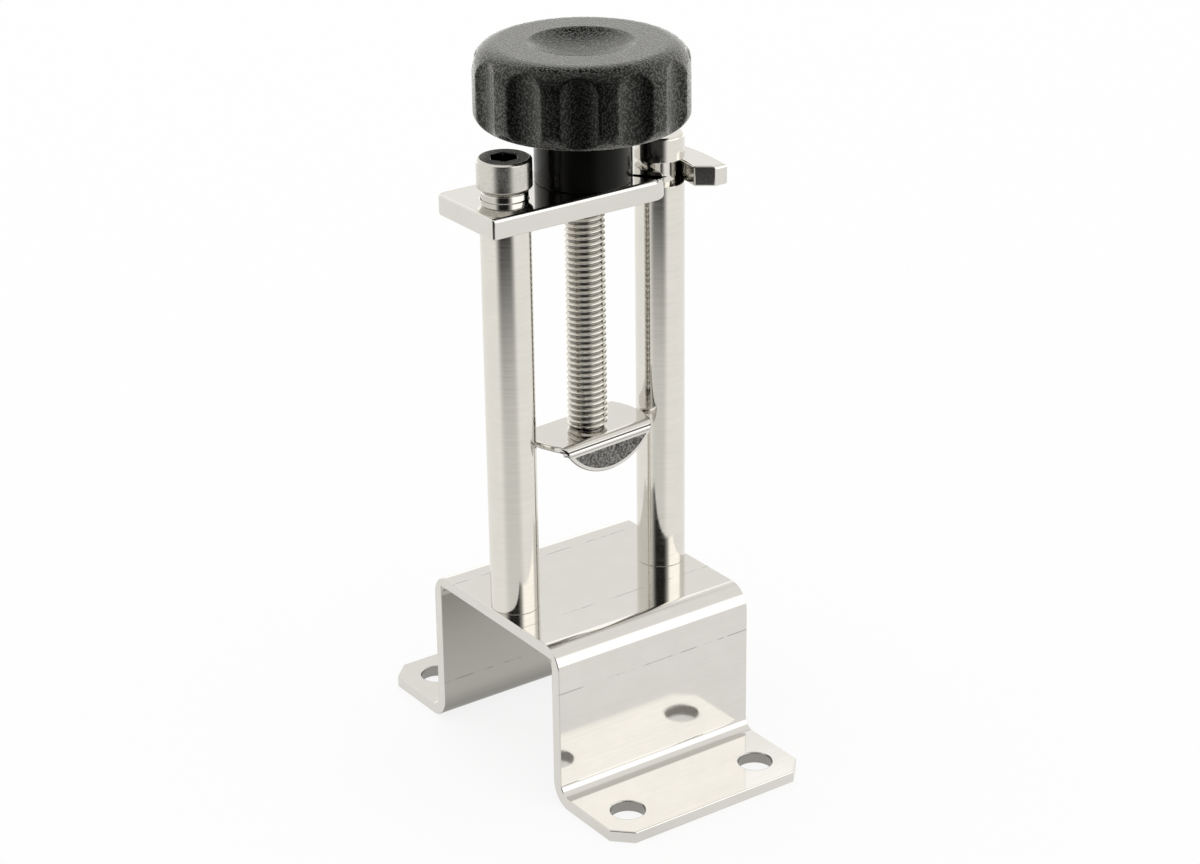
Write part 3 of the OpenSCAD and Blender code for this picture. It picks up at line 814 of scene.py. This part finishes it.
class FAIRLEAD_OT_spindle(bpy.types.Operator):
    """Make the threaded spindle with its spigot"""
    bl_idname = "fairlead.spindle"
    bl_label = "Spindle"

    def execute(self, context):
        material = rolled_thread_steel()
        pitch = sizes().thread_pitch
        foot, length = PAD_HIGH.z, SPINDLE_HIGH.z - PAD_HIGH.z
        rings_per_turn = 14
        rod = bake("spindle_finished", bpy.data.meshes.new("Empty"), thread_tree(), {
            "Segments": 64, "Rings": round(length / pitch * rings_per_turn),
            "Radius": SPINDLE_RADIUS, "Pitch": pitch,
            "Depth": sizes().thread_depth, "Foot": foot, "Length": length}, material)
        spigot, groove, chamfer, low = SPIGOT_RADIUS, GROOVE_RADIUS, SPIGOT_CHAMFER, SPINDLE_LOW.z
        section = [(0, low), (spigot - chamfer, low), (spigot, low + chamfer),
                   (spigot, RING_LOW.z), (groove, RING_LOW.z), (groove, RING_HIGH.z),
                   (spigot, RING_HIGH.z), (spigot, foot), (0, foot)]
        tail = turned_piece("spigot", section, material, segments=64)
        join_pieces(rod, tail)
        seat(rod, "spindle", "spindle")
        return {"FINISHED"}


def join_pieces(keeper, other):
    """Moves one piece's mesh into another's."""
    work = bmesh.new()
    work.from_mesh(keeper.data)
    work.from_mesh(other.data)
    work.to_mesh(keeper.data)
    work.free()
    bpy.data.objects.remove(other)


class FAIRLEAD_OT_knob(bpy.types.Operator):
    """Make the fluted knob"""
    bl_idname = "fairlead.knob"
    bl_label = "Knob"

    def execute(self, context):
        size = sizes()
        outer, hub = size.knob_diameter / 2, size.hub_diameter / 2
        seat_z, head, top = KNOB_LOW.z, KNOB_LOW.z + size.hub_height, KNOB_HIGH.z
        foot, shoulder = size.knob_foot, size.shoulder
        hub_edge, fillet, rim = 0.4 * MM, 0.6 * MM, 0.2 * MM
        insert = (INSERT_HIGH.y - INSERT_LOW.y) / 2
        dish_radius = (size.dish_diameter ** 2 / 4 + size.dish_depth ** 2) / (2 * size.dish_depth)
        dish_z = top - size.dish_depth + dish_radius
        dish_edge = math.degrees(math.asin(size.dish_diameter / 2 / dish_radius))
        points = [(0, INSERT_HIGH.z), (insert, INSERT_HIGH.z), (insert, seat_z)]
        points += arc((hub - hub_edge, seat_z + hub_edge), hub_edge, -90, 0, 3)
        points += arc((hub + fillet, head - fillet), fillet, 180, 90, 4)
        points += [(hub + 4 * MM, head), (outer - foot - 1 * MM, head)]
        points += arc((outer - foot, head + foot), foot, -90, 0, 14)
        side_low, side_high = head + foot, top - shoulder
        points += [(outer, side_low + (side_high - side_low) * i / 8) for i in range(1, 8)]
        points += arc((outer - shoulder, top - shoulder), shoulder, 0, 90, 28)
        dish = size.dish_diameter / 2
        points += [(outer - shoulder - 1 * MM, top), (dish + 2 * rim, top), (dish + rim, top)]
        points += [(dish + rim * 0.4, top - rim * 0.08)]
        points += arc((0, dish_z), dish_radius, -90 + dish_edge * 0.985, -90, 20)
        points[-1] = (0, points[-1][1])
        piece = turned_piece(
            "knob_body_finished", points, moulded_knob_black(), segments=384,
            **{"Flutes": size.flutes, "Flute Depth": size.flute_depth, "Flute Angle": size.flute_angle,
               "Turn": size.knob_turn, "Outer Radius": outer, "Softness": 0.15 * MM})
        seat(piece, "knob_body", "spindle")
        return {"FINISHED"}


class FAIRLEAD_OT_pad(bpy.types.Operator):
    """Make the pad that presses on the chain"""
    bl_idname = "fairlead.pad"
    bl_label = "Pressure pad"

    def execute(self, context):
        piece = softened_node("pressure_pad", sizes().pad_edge, pressed_pad_steel())
        seat(piece, "pressure_pad", "pad")
        return {"FINISHED"}


class FAIRLEAD_OT_fasteners(bpy.types.Operator):
    """Make the post screws, the knob's insert, the pad's washer and the retaining ring"""
    bl_idname = "fairlead.fasteners"
    bl_label = "Small fasteners"

    def execute(self, context):
        material = turned_steel()
        edge = sizes().screw_edge
        for node, body in (("post_screws", "base"), ("knob_insert", "spindle"),
                           ("pad_washer", "pad"), ("retaining_ring", "spindle")):
            seat(softened_node(node, edge, material), node, body)
        return {"FINISHED"}


# Stage

def studio_world():
    """White surroundings. Only reflections see what gives the steel its bands: brighter panels on the right
    and at the back, and a dark room in front and overhead.
    """
    world = bpy.data.worlds.new("Studio")
    bpy.context.scene.world = world
    world.use_nodes = True
    tree = world.node_tree
    tree.nodes.clear()
    direction = add(tree, "ShaderNodeTexCoord").outputs["Generated"]
    glossy = add(tree, "ShaderNodeLightPath").outputs["Is Glossy Ray"]
    high = axes_of(tree, direction)["Z"]
    front = calc(tree, "MULTIPLY", dark_room(tree, direction), soft_step(tree, high, 0.85, 0.6))
    overhead = calc_vector(tree, "DOT_PRODUCT", direction, (0.203, 0.352, 0.914), gives="Value")
    overhead = calc(tree, "MULTIPLY", soft_step(tree, overhead, 0.925, 0.97), 0.95)
    room = calc(tree, "MULTIPLY_ADD", calc(tree, "MAXIMUM", front, overhead), -0.985, 1.0)
    panel = both(tree, facing(tree, direction, heading=-55, outside=40, inside=22),
                 soft_step(tree, high, 0.02, 0.12), soft_step(tree, high, 0.68, 0.55))
    back = both(tree, facing(tree, direction, heading=55, outside=85, inside=55),
                soft_step(tree, high, 0.0, 0.06), soft_step(tree, high, 0.3, 0.23))
    white = calc(tree, "MULTIPLY_ADD", panel, 0.9, calc(tree, "MULTIPLY_ADD", back, 0.35, 1.0))
    level = calc(tree, "MULTIPLY", white, room)
    seen = calc(tree, "MULTIPLY_ADD", glossy, calc(tree, "SUBTRACT", level, 1.0), 1.0)
    background = add(tree, "ShaderNodeBackground", {"Color": studio_tint(tree, glossy), "Strength": seen})
    output = add(tree, "ShaderNodeOutputWorld")
    tree.links.new(background.outputs["Background"], output.inputs["Surface"])


def studio_tint(tree, glossy):
    """White for the camera, and the studio's slightly warm white for reflections."""
    return blend(tree, glossy, (1, 1, 1, 1), colours().studio_white)


def facing(tree, vector, heading, outside, inside):
    """1 where a vector's heading is within inside degrees of this one, and 0 beyond outside degrees."""
    unit = calc_vector(tree, "NORMALIZE", calc_vector(tree, "MULTIPLY", vector, LEVEL))
    way = (math.cos(math.radians(heading)), math.sin(math.radians(heading)), 0)
    along = calc_vector(tree, "DOT_PRODUCT", unit, way, gives="Value")
    return soft_step(tree, along, math.cos(math.radians(outside)), math.cos(math.radians(inside)))


def dark_room(tree, vector):
    """1 towards the dark room in front, by the heading seen from the object."""
    return facing(tree, vector, heading=-130, outside=46, inside=15)


# How black the paper in front is painted for reflections only, by the distance from the object in parts of
# PAPER_REACH
PAPER_REACH = 0.4
PAPER_FADE = ((0.1, 0.0), (0.22, 0.2), (0.5, 0.25), (0.6, 0.29), (0.68, 0.4), (0.78, 0.58), (0.88, 0.74),
              (1.0, 0.97))


def grey(value):
    return (value, value, value, 1)


def paper_floor():
    # Matt white paper, which also glows white to the camera and to reflections. The eye gets a white ground
    # with the object's faint shadow. Reflections see it painted dark towards the dark room in front, and
    # see it glow brighter far behind as painted light.
    material, tree, shader = new_material("Matt white paper", colours().paper_white, 0.0, 0.9)
    shader.inputs["Specular IOR Level"].default_value = 0.1
    place = add(tree, "ShaderNodeTexCoord").outputs["Object"]
    path = add(tree, "ShaderNodeLightPath").outputs
    glossy = path["Is Glossy Ray"]
    reach = calc_vector(tree, "LENGTH", place, gives="Value")
    fade = add(tree, "ShaderNodeValToRGB", {"Fac": calc(tree, "DIVIDE", reach, PAPER_REACH)})
    stops = fade.color_ramp.elements
    stops[0].position, stops[0].color = PAPER_FADE[0][0], grey(PAPER_FADE[0][1])
    stops[1].position, stops[1].color = PAPER_FADE[-1][0], grey(PAPER_FADE[-1][1])
    for position, value in PAPER_FADE[1:-1]:
        stops.new(position).color = grey(value)
    # Painted dark reflection: in front, reflections see the paper fade to black
    room = calc(tree, "MULTIPLY", dark_room(tree, place), fade.outputs["Color"])
    shade = calc(tree, "MULTIPLY", room, glossy)
    tree.links.new(blend(tree, shade, colours().paper_white, BLACK), shader.inputs["Base Color"])
    # Painted light: far behind, reflections see the paper glow up to 2.4 times as bright
    behind = both(tree, facing(tree, place, heading=55, outside=60, inside=38),
                  soft_step(tree, reach, 0.54, 0.62), glossy)
    glow = add(tree, "ShaderNodeEmission", {"Color": blend(tree, shade, studio_tint(tree, glossy), BLACK),
                                            "Strength": calc(tree, "MULTIPLY_ADD", behind, 1.4, 1.0)})
    seen = calc(tree, "MULTIPLY", calc(tree, "MAXIMUM", path["Is Camera Ray"], glossy), 0.84)
    lit = add(tree, "ShaderNodeMixShader",
              {"Fac": seen, 1: shader.outputs["BSDF"], 2: glow.outputs["Emission"]})
    tree.links.new(lit.outputs["Shader"], tree.nodes["Material Output"].inputs["Surface"])
    return material


def area_lamp(name, place, aim, width, height, radiance):
    """A soft rectangular lamp. A white surface that fills its view of it shows this radiance."""
    data = bpy.data.lights.new(name, "AREA")
    data.shape = "RECTANGLE"
    data.size, data.size_y = width, height
    data.energy = radiance * math.pi * width * height
    lamp = bpy.data.objects.new(name, data)
    bpy.context.scene.collection.objects.link(lamp)
    lamp.location = place
    lamp.rotation_euler = (Vector(aim) - Vector(place)).to_track_quat("-Z", "Y").to_euler()


def photo_camera():
    """Camera at the photograph's place."""
    data = bpy.data.cameras.new("Camera")
    data.sensor_fit, data.sensor_width = "HORIZONTAL", 36.0
    data.lens = 86.46
    data.clip_start, data.clip_end = 0.01, 50.0
    heading, height, roll = (math.radians(value) for value in (-35.12, 23.68, -0.74))
    back = Vector((math.sin(heading) * math.cos(height), -math.cos(heading) * math.cos(height),
                   math.sin(height)))
    level = Vector((math.cos(heading), math.sin(heading), 0))
    upright = back.cross(level)
    right = level * math.cos(roll) + upright * math.sin(roll)
    up = upright * math.cos(roll) - level * math.sin(roll)
    matrix = Matrix((right, up, back)).transposed().to_4x4()
    matrix.translation = (-0.3647, -0.5239, 0.3613)
    camera = bpy.data.objects.new("Camera", data)
    bpy.context.scene.collection.objects.link(camera)
    camera.matrix_world = matrix
    bpy.context.scene.camera = camera


class FAIRLEAD_OT_stage(bpy.types.Operator):
    """Make the floor, the surroundings, the lamp and the camera"""
    bl_idname = "fairlead.stage"
    bl_label = "Stage"

    def execute(self, context):
        context.scene.view_settings.view_transform = "Standard"
        mesh = bpy.data.meshes.new("Floor")
        work = bmesh.new()
        bmesh.ops.create_circle(work, cap_ends=True, segments=96, radius=6)
        bmesh.ops.translate(work, verts=work.verts, vec=(0, 0, FOOT_LOW.z - 0.02 * MM))
        work.to_mesh(mesh)
        work.free()
        new_piece("floor", mesh, paper_floor())
        studio_world()
        area_lamp("Back_softbox", place=(0.5, 1.1, 1.3), aim=(0, 0, 0.1), width=1.0, height=1.0,
                  radiance=0.4)
        photo_camera()
        return {"FINISHED"}


class FAIRLEAD_PT_panel(bpy.types.Panel):
    bl_label = "Chain fairlead"
    bl_idname = "FAIRLEAD_PT_panel"
    bl_space_type = "VIEW_3D"
    bl_region_type = "UI"
    bl_category = "Fairlead"

    def draw(self, context):
        column = self.layout.column(align=True)
        for operator in PIECES:
            column.operator(operator.bl_idname)
        for group in (context.scene.fairlead_sizes, context.scene.fairlead_colours):
            column.separator()
            for name in group.__annotations__:
                column.prop(group, name)


PIECES = (FAIRLEAD_OT_stage, FAIRLEAD_OT_bracket, FAIRLEAD_OT_posts, FAIRLEAD_OT_bar, FAIRLEAD_OT_pivot,
          FAIRLEAD_OT_spindle, FAIRLEAD_OT_knob, FAIRLEAD_OT_pad, FAIRLEAD_OT_fasteners)
CLASSES = (FairleadSizes, FairleadColours) + PIECES + (FAIRLEAD_PT_panel,)


def register():
    for item in CLASSES:
        bpy.utils.register_class(item)
    bpy.types.Scene.fairlead_sizes = bpy.props.PointerProperty(type=FairleadSizes)
    bpy.types.Scene.fairlead_colours = bpy.props.PointerProperty(type=FairleadColours)


def unregister():
    del bpy.types.Scene.fairlead_colours
    del bpy.types.Scene.fairlead_sizes
    for item in reversed(CLASSES):
        bpy.utils.unregister_class(item)


def main():
    register()
    bpy.ops.fairlead.stage()
    bpy.ops.fairlead.bracket()
    bpy.ops.fairlead.posts()
    bpy.ops.fairlead.bar()
    bpy.ops.fairlead.pivot()
    bpy.ops.fairlead.spindle()
    bpy.ops.fairlead.knob()
    bpy.ops.fairlead.pad()
    bpy.ops.fairlead.fasteners()


if __name__ == "__main__":
    main()
